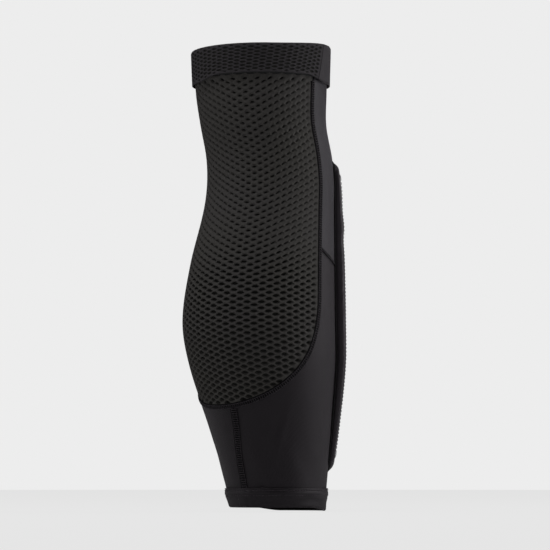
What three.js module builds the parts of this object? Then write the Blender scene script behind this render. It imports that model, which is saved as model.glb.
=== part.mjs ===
// Slip-on shin guard: a stretch sleeve for the lower leg with a breathable mesh calf and a
// segmented foam pad on the shin. The part stands on its bottom rim: +Z runs up the leg, the
// shin faces -Y and the calf faces +Y. All lengths are in millimetres.
import * as THREE from 'three';

// ---------------------------------------------------------------- driving dimensions
// Sections of the sleeve, from the ankle rim to the knee rim.
// Each is [height, centre in Y, half depth front to back, half width side to side].
const SECTIONS = [
  [0, -15.2, 40.2, 37.2],
  [20, -13.4, 42.7, 39.6],
  [65, -7.8, 51.2, 48.2],
  [115, 0.2, 60.7, 58.9],
  [150, 3.9, 63.3, 61.5],
  [195, 0.3, 60.1, 58.3],
  [240, -6.4, 54.3, 52.7],
  [262, -8.2, 52.7, 51.4],
  [284, -6.3, 51.8, 50.7],
  [310, 0.0, 51.5, 51.0],
  [335, 2.3, 53.2, 53.2],
  [370, 2.8, 54.5, 54.5],
];
const NARROW_FRONT = 0.05; // how much narrower the shin side of a section is than the calf side
const HEIGHT = 370;
const GAP = 0.3; // clearance between neighbouring pieces

const FABRIC = 1.2; // thickness of the knitted panels
const CUFF_WALL = 1.0; // thickness of one wall of a folded cuff
const ELASTIC = 1.1; // thickness of the elastic tapes
const GRIPPER = 0.8; // thickness of the silicone grippers

const CALF_HALF_ANGLE = 98; // degrees from the rear centre to the side seam
const CALF_BOTTOM = 80; // height of the lowest point of the mesh panel
const CALF_ARCH = 88; // height of its rounded lower end
const CALF_ROUNDNESS = 2.1; // exponent of that rounded end
const ARCH_NEAR_SWEEP = 12; // sweep of that rounded end where the back seam's near side meets it
const ARCH_FAR_SWEEP = 6.5; // and where its far side does
const BACK_SEAM_TOP_ANGLE = 16; // the lower panel closes here, degrees from the rear centre
const BACK_SEAM_FOOT_ANGLE = 10.3; // and here at the hem
const BACK_SEAM_BEND = [25, 80]; // heights between which that seam bends
const SIDE_SEAM_TOP = 207; // where the slanting front seam meets the side seam
const FRONT_SEAM_LOW = 181; // height of the slanting front seam at the shin
const FRONT_SEAM_CURVE = 1.5; // how late that seam turns upwards

const CUFF_BOTTOM = 342; // lower edge of the folded top cuff
const CUFF_LAP = 3; // how far a cuff's outer wall laps over the panels
const CUFF_PROUD = 1.6; // how far the top cuff's outer wall stands off the panels
const CUFF_JOIN = 102; // where mesh cuff and smooth cuff meet at the cuff's lower edge, degrees
const CUFF_JOIN_LEAN = 8; // how much further forward they meet at the rim, degrees
const CUFF_JOIN_GAP = 0.2; // degrees between the two parts of the cuff
const RIM_CHAMFER = 0.6; // on the fold of the top cuff
const RIM_RISE = 4; // how much higher the rim is at the shin
const RIM_RISE_SPAN = [55, 130]; // degrees from the rear centre over which it rises
const HEM_TOP = 15.5; // upper edge of the folded bottom hem

const PAD_CENTRE = 156; // height of the middle of the shin pad
const PAD_HALF_HEIGHT = 129;
const PAD_HALF_ANGLE = 54; // degrees either side of the shin's centre line
const PAD_CORNER = 0.16; // 0 is a square-cornered pad, 0.5 an oval one
const PAD_THICK = 7.4; // at its middle
const PAD_THIN = 4.4; // at its ends
const PAD_COVER = 1.0; // wall of the pad's cover
const PAD_BACKING = 0.6; // cloth behind the foam
const PAD_SEGMENTS = 5; // foam blocks, one above the other
const PAD_GROOVE = 0.03; // gap between two foam blocks, as a share of the half height
const BINDING_WIDTH = 2.6;
const BINDING_THICK = 1.3;

const STITCH_WIDTH = 4.2; // flatlock seams
const STITCH_THICK = 0.5;
const STITCH_LIFT = 0.6; // a seam's underside above the panels' outer face
const SEAM_CLEARANCE = [2.7, 4.2]; // degrees from a front seam's ends to the calf seam and the pad
const CUFF_SEAM_RISE = 1; // height of the seam inside the cuff, over the cuff's lower edge
const CUFF_SEAM_WIDTH = 4;
const HEM_ROWS_DROP = 3.4; // from the hem's upper edge to the middle of its stitching
const HEM_ROWS_WIDTH = 3.2;
const PAD_STITCH_SIZE = 0.93; // the pad's line of stitches, as a share of its outline
const PAD_STITCH_WIDTH = 2;

const TOP_GRIPPER = [9, 7]; // its distances from the cuff's lower edge and from the rim
const BOTTOM_GRIPPER = [3, 2]; // its distances from the ankle rim and from the lower panel's edge

const TURN_STEPS = 40; // facets round a whole ring
const DEGREE = Math.PI / 180;

// ---------------------------------------------------------------- materials
function finish(color, roughness) {
  return new THREE.MeshStandardMaterial({ color, roughness, metalness: 0 });
}

const MESH_KNIT = [0x2c2c29, 0.85];
const SMOOTH_KNIT = [0x302e32, 0.7];
const PAD_SKIN = [0x29282a, 0.6];
const TRIM = [0x1d1c1e, 0.75];
const FOAM = [0x3c3c40, 0.9];
const SILICONE = [0x18181a, 0.45];

// ---------------------------------------------------------------- the sleeve's surface
function sectionAt(height) {
  let k = 0;
  while (k < SECTIONS.length - 2 && height > SECTIONS[k + 1][0]) {
    k += 1;
  }
  const slope = (i, column) => {
    const low = SECTIONS[Math.max(i - 1, 0)];
    const high = SECTIONS[Math.min(i + 1, SECTIONS.length - 1)];
    return (high[column] - low[column]) / (high[0] - low[0]);
  };
  const [from, to] = [SECTIONS[k], SECTIONS[k + 1]];
  const run = to[0] - from[0];
  const t = (height - from[0]) / run;
  return [1, 2, 3].map((column) => {
    const a = (2 * t ** 3 - 3 * t ** 2 + 1) * from[column];
    const b = (t ** 3 - 2 * t ** 2 + t) * run * slope(k, column);
    const c = (3 * t ** 2 - 2 * t ** 3) * to[column];
    const d = (t ** 3 - t ** 2) * run * slope(k + 1, column);
    return a + b + c + d;
  });
}

// A point of the sleeve: the angle runs from the rear centre towards -X, in degrees, and out is
// the distance outside the panels' outer face.
function onSleeve(angle, height, out = 0) {
  const [centre, depth, width] = sectionAt(height);
  const turn = angle * DEGREE;
  const lean = NARROW_FRONT;
  const x = -width * Math.sin(turn) * (1 + lean * Math.cos(turn));
  const y = centre + depth * Math.cos(turn);
  const normal = new THREE.Vector3(
    -depth * Math.sin(turn),
    width * (Math.cos(turn) + lean * Math.cos(2 * turn)),
    0,
  ).normalize();
  return new THREE.Vector3(x, y, height).addScaledVector(normal, out);
}

// The direction straight out of the sleeve's surface at a place, its slope included.
function faceNormal(angle, height) {
  const round = onSleeve(angle + 0.5, height).sub(onSleeve(angle - 0.5, height));
  const rise = onSleeve(angle, height + 0.5).sub(onSleeve(angle, height - 0.5));
  return new THREE.Vector3().crossVectors(round, rise).normalize();
}

// ---------------------------------------------------------------- closed solids
// A closed solid from its corners and triangles, turned so that its faces point outwards.
function closedSolid(points, triangles) {
  let volume = 0;
  for (const [a, b, c] of triangles) {
    volume += points[a].dot(new THREE.Vector3().crossVectors(points[b], points[c]));
  }
  const faces = volume > 0 ? triangles : triangles.map(([a, b, c]) => [a, c, b]);
  const geometry = new THREE.BufferGeometry();
  geometry.setAttribute(
    'position',
    new THREE.Float32BufferAttribute(points.flatMap((p) => p.toArray()), 3),
  );
  geometry.setIndex(faces.flat());
  geometry.computeVertexNormals();
  return geometry;
}

function quad(triangles, a, b, c, d) {
  triangles.push([a, b, c], [a, c, d]);
}

// A solid swept by a closed outline: place(i) gives the outline's corners at station i. A ring
// closes on itself, and an open sweep is capped with the outline's own flat shape.
function swept(stations, place, flatOutline, isRing) {
  const points = [];
  const triangles = [];
  const corners = flatOutline.length;
  for (let i = 0; i < stations; i += 1) {
    points.push(...place(i));
  }
  const spans = isRing ? stations : stations - 1;
  for (let i = 0; i < spans; i += 1) {
    const here = i * corners;
    const next = ((i + 1) % stations) * corners;
    for (let j = 0; j < corners; j += 1) {
      const k = (j + 1) % corners;
      quad(triangles, here + j, here + k, next + k, next + j);
    }
  }
  if (!isRing) {
    const last = (stations - 1) * corners;
    for (const [a, b, c] of THREE.ShapeUtils.triangulateShape(flatOutline, [])) {
      triangles.push([a, c, b], [last + a, last + b, last + c]);
    }
  }
  return closedSolid(points, triangles);
}

// The grid points that run once round the edge of a grid, in order.
function gridEdge(across, up) {
  const edge = [];
  for (let i = 0; i < across; i += 1) edge.push([i, 0]);
  for (let j = 0; j < up; j += 1) edge.push([across, j]);
  for (let i = across; i > 0; i -= 1) edge.push([i, up]);
  for (let j = up; j > 0; j -= 1) edge.push([0, j]);
  return edge;
}

// A plate between two grids of points, outside(s, t) and inside(s, t), joined along their edge.
// rims are further loops that the edge wall passes through, as functions of (s, t).
function plate(across, up, outside, inside, rims = []) {
  const points = [];
  const triangles = [];
  const grids = [outside, inside].map((place) => {
    const first = points.length;
    for (let j = 0; j <= up; j += 1) {
      for (let i = 0; i <= across; i += 1) {
        points.push(place(i / across, j / up));
      }
    }
    return (i, j) => first + j * (across + 1) + i;
  });
  for (let j = 0; j < up; j += 1) {
    for (let i = 0; i < across; i += 1) {
      const [out, back] = grids;
      quad(triangles, out(i, j), out(i + 1, j), out(i + 1, j + 1), out(i, j + 1));
      quad(triangles, back(i, j), back(i, j + 1), back(i + 1, j + 1), back(i + 1, j));
    }
  }
  const edge = gridEdge(across, up);
  const loops = [edge.map(([i, j]) => grids[0](i, j))];
  for (const rim of rims) {
    const first = points.length;
    points.push(...edge.map(([i, j]) => rim(i / across, j / up)));
    loops.push(edge.map((_, n) => first + n));
  }
  loops.push(edge.map(([i, j]) => grids[1](i, j)));
  for (let l = 0; l < loops.length - 1; l += 1) {
    for (let n = 0; n < edge.length; n += 1) {
      const m = (n + 1) % edge.length;
      quad(triangles, loops[l][m], loops[l][n], loops[l + 1][n], loops[l + 1][m]);
    }
  }
  return closedSolid(points, triangles);
}

// ---------------------------------------------------------------- outlines on the sleeve
// The lines below are lists of [angle, height]. A position along one is a share of its length,
// where a millimetre of height counts for less than a degree so that columns stay upright.
const HEIGHT_WEIGHT = 0.35;

function alongLine(line) {
  const reach = [0];
  for (let i = 1; i < line.length; i += 1) {
    const step = Math.hypot(
      line[i][0] - line[i - 1][0],
      HEIGHT_WEIGHT * (line[i][1] - line[i - 1][1]),
    );
    reach.push(reach[i - 1] + step);
  }
  const total = reach[reach.length - 1];
  return (share) => {
    const at = share * total;
    let k = 0;
    while (k < line.length - 2 && at > reach[k + 1]) {
      k += 1;
    }
    const t = (at - reach[k]) / (reach[k + 1] - reach[k]);
    return [0, 1].map((n) => line[k][n] + t * (line[k + 1][n] - line[k][n]));
  };
}

// The mesh panel's rounded end: from the rear centre (0) to the side seam (90 degrees of sweep).
function calfArch(sweep, inset = 0) {
  const power = 2 / CALF_ROUNDNESS;
  const turn = sweep * DEGREE;
  const side = Math.sign(turn) * Math.abs(Math.sin(turn)) ** power;
  const drop = Math.max(Math.cos(turn), 0) ** power;
  return [
    (CALF_HALF_ANGLE - inset) * side,
    CALF_BOTTOM + CALF_ARCH - (CALF_ARCH - inset) * drop,
  ];
}

function frontSeam(angle) {
  const share = Math.abs(angle - 180) / (180 - CALF_HALF_ANGLE);
  return FRONT_SEAM_LOW + (SIDE_SEAM_TOP - FRONT_SEAM_LOW) * share ** FRONT_SEAM_CURVE;
}

// The share of a span that a value has passed, with a soft start and end.
function passed([from, to], value) {
  const t = Math.min(Math.max((value - from) / (to - from), 0), 1);
  return t * t * (3 - 2 * t);
}

function backSeamAngle(height) {
  const bend = BACK_SEAM_TOP_ANGLE - BACK_SEAM_FOOT_ANGLE;
  return BACK_SEAM_FOOT_ANGLE + bend * passed(BACK_SEAM_BEND, height);
}

// How much higher the rim is at an angle.
function rimRise(angle) {
  const fromRear = Math.min(Math.abs(angle), Math.abs(360 - angle));
  return RIM_RISE * passed(RIM_RISE_SPAN, fromRear);
}

function range(from, to, steps) {
  return Array.from({ length: steps + 1 }, (_, i) => from + ((to - from) * i) / steps);
}

// A panel fills four lines by blending them: bottom and top run the same way round the leg, and
// left and right run upwards.
function sewnPanel(across, up, bottom, top, left, right) {
  const [low, high, near, far] = [bottom, top, left, right].map(alongLine);
  const place = (out) => (s, t) => {
    const at = [0, 1].map((n) => {
      const sides = (1 - s) * near(t)[n] + s * far(t)[n];
      const ends = (1 - t) * low(s)[n] + t * high(s)[n];
      const lower = (1 - s) * low(0)[n] + s * low(1)[n];
      const upper = (1 - s) * high(0)[n] + s * high(1)[n];
      return sides + ends - (1 - t) * lower - t * upper;
    });
    return onSleeve(at[0], at[1], out);
  };
  return plate(across, up, place(0), place(-FABRIC));
}

// ---------------------------------------------------------------- the sleeve's panels
const SEAM_INSET = 1.0; // degrees or millimetres that a panel keeps from its seam line
const PANEL_TOP = CUFF_BOTTOM + CUFF_LAP;
const PANEL_BOTTOM = HEM_TOP - CUFF_LAP;
const ARCH_SPLIT = 45; // sweep at which the mesh panel's bottom line becomes its side line

function calfMeshPanel() {
  const half = CALF_HALF_ANGLE - SEAM_INSET;
  const bottom = range(-ARCH_SPLIT, ARCH_SPLIT, 16).map((s) => calfArch(s, SEAM_INSET));
  const side = range(ARCH_SPLIT, 90, 8).map((s) => calfArch(s, SEAM_INSET));
  side.push([half, PANEL_TOP]);
  const mirrored = side.map(([angle, height]) => [-angle, height]);
  const top = [[-half, PANEL_TOP], [half, PANEL_TOP]];
  return sewnPanel(26, 20, bottom, top, mirrored, side);
}

function frontUpperPanel() {
  const near = CALF_HALF_ANGLE + SEAM_INSET;
  const far = 360 - near;
  const bottom = range(near, far, 20).map((angle) => [angle, frontSeam(angle) + SEAM_INSET]);
  const top = [[near, PANEL_TOP], [far, PANEL_TOP]];
  const left = [[near, bottom[0][1]], [near, PANEL_TOP]];
  const right = [[far, bottom[0][1]], [far, PANEL_TOP]];
  return sewnPanel(22, 11, bottom, top, left, right);
}

function lowerPanel() {
  const seamHeight = calfArch(ARCH_NEAR_SWEEP, -SEAM_INSET)[1];
  const side = (turn) => range(PANEL_BOTTOM, seamHeight, 9).map((height) => {
    return [turn + backSeamAngle(height), height];
  });
  const left = side(SEAM_INSET);
  const right = side(360 - SEAM_INSET);
  const nearArch = range(ARCH_NEAR_SWEEP, 90, 16).map((s) => calfArch(s, -SEAM_INSET));
  nearArch[0] = left[left.length - 1];
  const farArch = range(-90, ARCH_FAR_SWEEP, 20).map((s) => calfArch(s, -SEAM_INSET));
  const farSide = farArch.map(([angle, height]) => [360 + angle, height]);
  farSide.push(right[right.length - 1]);
  const near = CALF_HALF_ANGLE + SEAM_INSET;
  const front = range(near, 360 - near, 20).map((a) => [a, frontSeam(a) - SEAM_INSET]);
  const top = [...nearArch, ...front, ...farSide];
  const bottom = [left[0], right[0]];
  return sewnPanel(52, 9, bottom, top, left, right);
}

// ---------------------------------------------------------------- cuffs, tapes and grippers
function flat(outline) {
  return outline.map(([out, height]) => new THREE.Vector2(out, height));
}

// A ring round the leg whose section is a closed outline of [out, height] corners.
function legRing(outline) {
  const place = (i) => outline.map(([out, height]) => {
    return onSleeve((360 * i) / TURN_STEPS, height, out);
  });
  return swept(TURN_STEPS, place, flat(outline), true);
}

// The top cuff is a strip folded over its elastic: outer wall, rim and inner wall.
function topCuffOutline() {
  const outerFace = CUFF_PROUD + CUFF_WALL;
  const innerFace = -FABRIC - CUFF_WALL;
  const fold = HEIGHT - CUFF_WALL;
  return [
    [outerFace, CUFF_BOTTOM],
    [outerFace, HEIGHT - RIM_CHAMFER],
    [outerFace - RIM_CHAMFER, HEIGHT],
    [innerFace + RIM_CHAMFER, HEIGHT],
    [innerFace, HEIGHT - RIM_CHAMFER],
    [innerFace, PANEL_TOP + GAP],
    [-FABRIC, PANEL_TOP + GAP],
    [-FABRIC, fold],
    [CUFF_PROUD, fold],
    [CUFF_PROUD, CUFF_BOTTOM],
  ];
}

function topCuffPart(fromShare, toShare, steps) {
  const outline = topCuffOutline();
  const place = (i) => outline.map(([out, height]) => {
    const rise = Math.max(height - CUFF_BOTTOM, 0) / (HEIGHT - CUFF_BOTTOM);
    const join = CUFF_JOIN + CUFF_JOIN_LEAN * rise;
    const [from, to] = [fromShare(join), toShare(join)];
    const angle = from + ((to - from) * i) / steps;
    return onSleeve(angle, height + rise * rimRise(angle), out);
  });
  return swept(steps + 1, place, flat(outline), false);
}

function bottomHem() {
  const outerFace = GAP + CUFF_WALL;
  const innerFace = -FABRIC - GAP - CUFF_WALL;
  const rise = PANEL_BOTTOM - GAP;
  return legRing([
    [outerFace, HEM_TOP],
    [outerFace, 0],
    [innerFace, 0],
    [innerFace, rise],
    [-FABRIC - GAP, rise],
    [-FABRIC - GAP, CUFF_WALL],
    [GAP, CUFF_WALL],
    [GAP, HEM_TOP],
  ]);
}

function tapeRing(inner, outer, bottom, top) {
  return legRing([[outer, bottom], [outer, top], [inner, top], [inner, bottom]]);
}

// ---------------------------------------------------------------- stitched seams
// A flat seam lies along a line of [angle, height], centred on it or to one side of it.
function seam(line, from, to, lift, thick, isRing) {
  const count = line.length;
  const spots = line.map(([angle, height]) => onSleeve(angle, height));
  const place = (i) => {
    const before = spots[isRing ? (i + count - 1) % count : Math.max(i - 1, 0)];
    const after = spots[isRing ? (i + 1) % count : Math.min(i + 1, count - 1)];
    const forward = new THREE.Vector3().subVectors(after, before).normalize();
    const normal = faceNormal(line[i][0], line[i][1]);
    const sideways = new THREE.Vector3().crossVectors(normal, forward).normalize();
    const base = typeof lift === 'function' ? lift(line[i]) : lift;
    const corner = (side, up) => spots[i].clone()
      .addScaledVector(sideways, side)
      .addScaledVector(normal, up);
    return [
      corner(from, base),
      corner(to, base),
      corner(to, base + thick),
      corner(from, base + thick),
    ];
  };
  const outline = flat([[from, 0], [to, 0], [to, thick], [from, thick]]);
  return swept(count, place, outline, isRing);
}

function flatSeam(line) {
  const half = STITCH_WIDTH / 2;
  return seam(line, -half, half, STITCH_LIFT, STITCH_THICK, false);
}

const SEAM_TOP = CUFF_BOTTOM - 2 * GAP;

function calfSeam() {
  const straight = range(SEAM_TOP, CALF_BOTTOM + CALF_ARCH + 4, 16);
  const near = straight.map((height) => [CALF_HALF_ANGLE, height]);
  const arch = range(90, -90, 44).map((sweep) => calfArch(sweep));
  const far = straight.map((height) => [-CALF_HALF_ANGLE, height]).reverse();
  return flatSeam([...near, ...arch, ...far]);
}

function backSeam() {
  const top = CALF_BOTTOM + 1 - STITCH_WIDTH / 2 - GAP;
  const bottom = HEM_TOP + GAP;
  return flatSeam(range(bottom, top, 8).map((height) => [backSeamAngle(height), height]));
}

function frontSeamSide(isNear) {
  const [atCalf, atPad] = SEAM_CLEARANCE;
  const angles = range(CALF_HALF_ANGLE + atCalf, 180 - PAD_HALF_ANGLE - atPad, 5);
  const line = angles.map((angle) => [angle, frontSeam(angle)]);
  return flatSeam(isNear ? line : line.map(([angle, height]) => [360 - angle, height]));
}

function ringLine(height) {
  return range(0, 360, TURN_STEPS).slice(0, -1).map((angle) => [angle, height]);
}

// ---------------------------------------------------------------- the shin pad
// A place on the pad: s and t run from 0 to 1 across and up it, and size shrinks it about its
// middle. The corners of the pad are rounded off by PAD_CORNER.
function onPad(s, t, size = 1) {
  const across = 2 * s - 1;
  const up = 2 * t - 1;
  return [
    180 + size * PAD_HALF_ANGLE * across * Math.sqrt(1 - PAD_CORNER * up ** 2),
    PAD_CENTRE + size * PAD_HALF_HEIGHT * up * Math.sqrt(1 - PAD_CORNER * across ** 2),
  ];
}

function padThickness(height) {
  const away = Math.abs(height - PAD_CENTRE) / PAD_HALF_HEIGHT;
  return PAD_THICK - (PAD_THICK - PAD_THIN) * Math.min(away, 1) ** 2;
}

const BACKING_TOP = GAP + PAD_BACKING;
const INNER_SIZE = 0.965; // the cover's inner wall
const FOAM_SIZE = 0.955; // the foam blocks and their backing

function padCover() {
  const outside = (s, t) => {
    const [angle, height] = onPad(s, t);
    return onSleeve(angle, height, padThickness(height));
  };
  const inside = (s, t) => {
    const [angle, height] = onPad(s, t, INNER_SIZE);
    return onSleeve(angle, height, padThickness(height) - PAD_COVER);
  };
  const foot = (s, t) => onSleeve(...onPad(s, t), GAP);
  const innerFoot = (s, t) => onSleeve(...onPad(s, t, INNER_SIZE), GAP);
  return plate(12, 18, outside, inside, [foot, innerFoot]);
}

function padBacking() {
  const face = (out) => (s, t) => onSleeve(...onPad(s, t, FOAM_SIZE), out);
  return plate(14, 18, face(BACKING_TOP), face(GAP));
}

function foamBlock(index) {
  const tall = 1 / PAD_SEGMENTS;
  const low = index * tall + (index > 0 ? PAD_GROOVE / 2 : 0);
  const high = (index + 1) * tall - (index < PAD_SEGMENTS - 1 ? PAD_GROOVE / 2 : 0);
  const top = (s, t) => {
    const [angle, height] = onPad(s, low + (high - low) * t, FOAM_SIZE);
    return onSleeve(angle, height, padThickness(height) - PAD_COVER - GAP);
  };
  const back = (s, t) => {
    return onSleeve(...onPad(s, low + (high - low) * t, FOAM_SIZE), BACKING_TOP + GAP);
  };
  return plate(12, 3, top, back);
}

function padOutline(size) {
  const [across, up] = [12, 20];
  return gridEdge(across, up).map(([i, j]) => onPad(i / across, j / up, size));
}

function padBinding() {
  const inner = -1.5 * GAP;
  return seam(padOutline(1), inner - BINDING_WIDTH, inner, 2 * GAP, BINDING_THICK, true);
}

function padStitching() {
  const lift = ([, height]) => padThickness(height) + GAP;
  const half = PAD_STITCH_WIDTH / 2;
  return seam(padOutline(PAD_STITCH_SIZE), -half, half, lift, STITCH_THICK, true);
}

// ---------------------------------------------------------------- assembly
const guard = new THREE.Group();

function add(name, geometry, [color, roughness]) {
  const piece = new THREE.Mesh(geometry, finish(color, roughness));
  piece.name = name;
  guard.add(piece);
}

add('calf_mesh_panel', calfMeshPanel(), MESH_KNIT);
add('front_upper_panel', frontUpperPanel(), SMOOTH_KNIT);
add('lower_panel', lowerPanel(), SMOOTH_KNIT);

add(
  'top_cuff_mesh_band',
  topCuffPart((join) => CUFF_JOIN_GAP - join, (join) => join - CUFF_JOIN_GAP, 28),
  MESH_KNIT,
);
add(
  'top_cuff_front_band',
  topCuffPart((join) => join + CUFF_JOIN_GAP, (join) => 360 - join - CUFF_JOIN_GAP, 20),
  SMOOTH_KNIT,
);
add('bottom_hem_band', bottomHem(), SMOOTH_KNIT);

const topTapeInner = -FABRIC + GAP;
add(
  'top_elastic_tape',
  tapeRing(topTapeInner, topTapeInner + ELASTIC, PANEL_TOP + GAP, HEIGHT - CUFF_WALL - GAP),
  TRIM,
);
add(
  'bottom_elastic_tape',
  tapeRing(-FABRIC, 0, CUFF_WALL + GAP, PANEL_BOTTOM - GAP),
  TRIM,
);

const topGripperFace = -FABRIC - CUFF_WALL - 2 * GAP;
add(
  'top_silicone_gripper',
  tapeRing(
    topGripperFace - GRIPPER,
    topGripperFace,
    CUFF_BOTTOM + TOP_GRIPPER[0],
    HEIGHT - TOP_GRIPPER[1],
  ),
  SILICONE,
);
const bottomGripperFace = -FABRIC - CUFF_WALL - 2 * GAP;
add(
  'bottom_silicone_gripper',
  tapeRing(
    bottomGripperFace - GRIPPER,
    bottomGripperFace,
    BOTTOM_GRIPPER[0],
    PANEL_BOTTOM - BOTTOM_GRIPPER[1],
  ),
  SILICONE,
);

add('pad_cover', padCover(), PAD_SKIN);
add('pad_backing', padBacking(), TRIM);
for (let index = 0; index < PAD_SEGMENTS; index += 1) {
  add(`pad_foam_block_${index + 1}`, foamBlock(index), FOAM);
}
add('pad_edge_binding', padBinding(), TRIM);
add('pad_edge_stitching', padStitching(), TRIM);

add('calf_seam_stitching', calfSeam(), TRIM);
add('back_seam_stitching', backSeam(), TRIM);
add('front_seam_stitching_right', frontSeamSide(true), TRIM);
add('front_seam_stitching_left', frontSeamSide(false), TRIM);

function stitchedRing(height, width, lift) {
  return seam(ringLine(height), -width / 2, width / 2, lift, STITCH_THICK, true);
}

add(
  'top_cuff_stitching',
  stitchedRing(CUFF_BOTTOM + CUFF_SEAM_RISE, CUFF_SEAM_WIDTH, -FABRIC - GAP - STITCH_THICK),
  TRIM,
);
add(
  'hem_stitching',
  stitchedRing(HEM_TOP - HEM_ROWS_DROP, HEM_ROWS_WIDTH, GAP + CUFF_WALL + STITCH_LIFT),
  TRIM,
);

// The origin is the middle of the whole guard's footprint, on the plane that it stands on.
const extent = new THREE.Box3().setFromObject(guard, true);
guard.position.y = -(extent.min.y + extent.max.y) / 2;

export default guard;
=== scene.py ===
# %% [markdown]
# # A slip-on shin guard
# The guard is a stretch sleeve for the lower leg: an open mesh over the calf, smooth stretch knit
# at the sides and the ankle, folded cuffs, and a raised foam pad on the shin. This lesson loads the
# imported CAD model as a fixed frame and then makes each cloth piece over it.

# %% Load the frame
import math

import bmesh
import bpy
import numpy as np
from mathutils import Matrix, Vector


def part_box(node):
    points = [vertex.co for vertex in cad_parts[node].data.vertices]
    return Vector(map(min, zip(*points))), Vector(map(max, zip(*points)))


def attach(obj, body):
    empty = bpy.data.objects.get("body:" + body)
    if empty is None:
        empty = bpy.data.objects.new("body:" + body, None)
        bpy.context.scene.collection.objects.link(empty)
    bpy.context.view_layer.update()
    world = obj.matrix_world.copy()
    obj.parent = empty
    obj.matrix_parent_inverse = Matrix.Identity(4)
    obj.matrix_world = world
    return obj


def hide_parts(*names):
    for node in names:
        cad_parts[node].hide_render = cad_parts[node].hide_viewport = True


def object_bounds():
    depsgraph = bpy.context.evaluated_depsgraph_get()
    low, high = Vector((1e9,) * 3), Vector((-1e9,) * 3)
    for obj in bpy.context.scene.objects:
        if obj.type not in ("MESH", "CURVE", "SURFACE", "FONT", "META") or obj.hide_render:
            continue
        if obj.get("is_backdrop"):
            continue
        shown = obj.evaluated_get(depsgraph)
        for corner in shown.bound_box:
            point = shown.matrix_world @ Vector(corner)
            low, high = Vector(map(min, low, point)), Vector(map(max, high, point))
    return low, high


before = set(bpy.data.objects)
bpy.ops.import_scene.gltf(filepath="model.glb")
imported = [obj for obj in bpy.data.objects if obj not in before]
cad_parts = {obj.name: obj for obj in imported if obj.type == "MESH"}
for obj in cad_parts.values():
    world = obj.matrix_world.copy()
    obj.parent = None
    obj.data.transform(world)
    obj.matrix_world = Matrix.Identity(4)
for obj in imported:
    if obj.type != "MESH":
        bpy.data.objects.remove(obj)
CAD_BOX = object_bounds()
bpy.ops.object.select_all(action="DESELECT")
MM = 0.001
print("CAD box in mm:", [[round(c / MM, 1) for c in corner] for corner in CAD_BOX])

# %% [markdown]
# ## The leg form
# All the cloth lies on one surface: an egg-shaped section that changes with height. A short table of
# sections with a smooth curve through them is easier to correct than a sculpted mesh, and every
# panel, seam and stitch can ask it where it is. Angles run from the middle of the calf towards
# -X, in degrees, and heights are in millimetres.

# %% The sleeve's surface
# height, centre in Y, half depth, half width
SECTIONS = np.array([
    [0, -15.2, 40.2, 37.2],
    [20, -13.4, 42.7, 39.6],
    [65, -7.8, 51.2, 48.2],
    [115, 0.2, 60.7, 58.9],
    [150, 3.9, 63.3, 61.5],
    [195, 0.3, 60.1, 58.3],
    [240, -6.4, 54.3, 52.7],
    [262, -8.2, 52.7, 51.4],
    [284, -6.3, 51.8, 50.7],
    [310, 0.0, 51.5, 51.0],
    [335, 2.3, 53.2, 53.2],
    [370, 2.8, 54.5, 54.5],
])
NARROW_FRONT = 0.05
HEIGHT = 370.0


def section_at(height):
    """Centre, half depth and half width of the sleeve at each height."""
    heights = SECTIONS[:, 0]
    last = len(SECTIONS) - 1
    low = np.maximum(np.arange(last + 1) - 1, 0)
    high = np.minimum(np.arange(last + 1) + 1, last)
    slopes = (SECTIONS[high] - SECTIONS[low]) / (heights[high] - heights[low])[:, None]
    k = np.clip(np.searchsorted(heights, height, side="right") - 1, 0, last - 1)
    run = heights[k + 1] - heights[k]
    t = ((height - heights[k]) / run)[..., None]
    run = run[..., None]
    start = (2 * t**3 - 3 * t**2 + 1) * SECTIONS[k] + (t**3 - 2 * t**2 + t) * run * slopes[k]
    end = (3 * t**2 - 2 * t**3) * SECTIONS[k + 1] + (t**3 - t**2) * run * slopes[k + 1]
    both = start + end
    return both[..., 1], both[..., 2], both[..., 3]


ALL_HEIGHTS = np.linspace(0, HEIGHT, 371)
CENTRES, DEPTHS, _ = section_at(ALL_HEIGHTS)
# The CAD model is centred on its footprint, so the surface moves by the same amount.
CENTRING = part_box("calf_mesh_panel")[1].y / MM - float((CENTRES + DEPTHS).max())


def on_sleeve(angle, height, out=0.0):
    """Points on the sleeve in metres, out millimetres outside the cloth's outer face."""
    angle, height, out = np.broadcast_arrays(*(np.asarray(a, float) for a in (angle, height, out)))
    centre, depth, width = section_at(height)
    turn = np.radians(angle)
    x = -width * np.sin(turn) * (1 + NARROW_FRONT * np.cos(turn))
    y = centre + CENTRING + depth * np.cos(turn)
    nx = -depth * np.sin(turn)
    ny = width * (np.cos(turn) + NARROW_FRONT * np.cos(2 * turn))
    size = np.hypot(nx, ny)
    return np.stack([x + out * nx / size, y + out * ny / size, height], axis=-1) * MM


def face_normal(angle, height):
    """The direction straight out of the sleeve, its slope included."""
    round_leg = on_sleeve(angle + 0.5, height) - on_sleeve(angle - 0.5, height)
    rise = on_sleeve(angle, height + 0.5) - on_sleeve(angle, height - 0.5)
    normal = np.cross(round_leg, rise)
    return normal / np.linalg.norm(normal, axis=-1, keepdims=True)


print(f"surface ready, centring {CENTRING:.2f} mm")

# %% [markdown]
# ## Helpers for cloth
# A sheet of cloth is a grid of points with a second grid behind it and a rim between them, so it
# is closed and has a real thickness. Each sheet keeps a UV map in metres, across and up the cloth,
# which the knit pattern follows.

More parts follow.
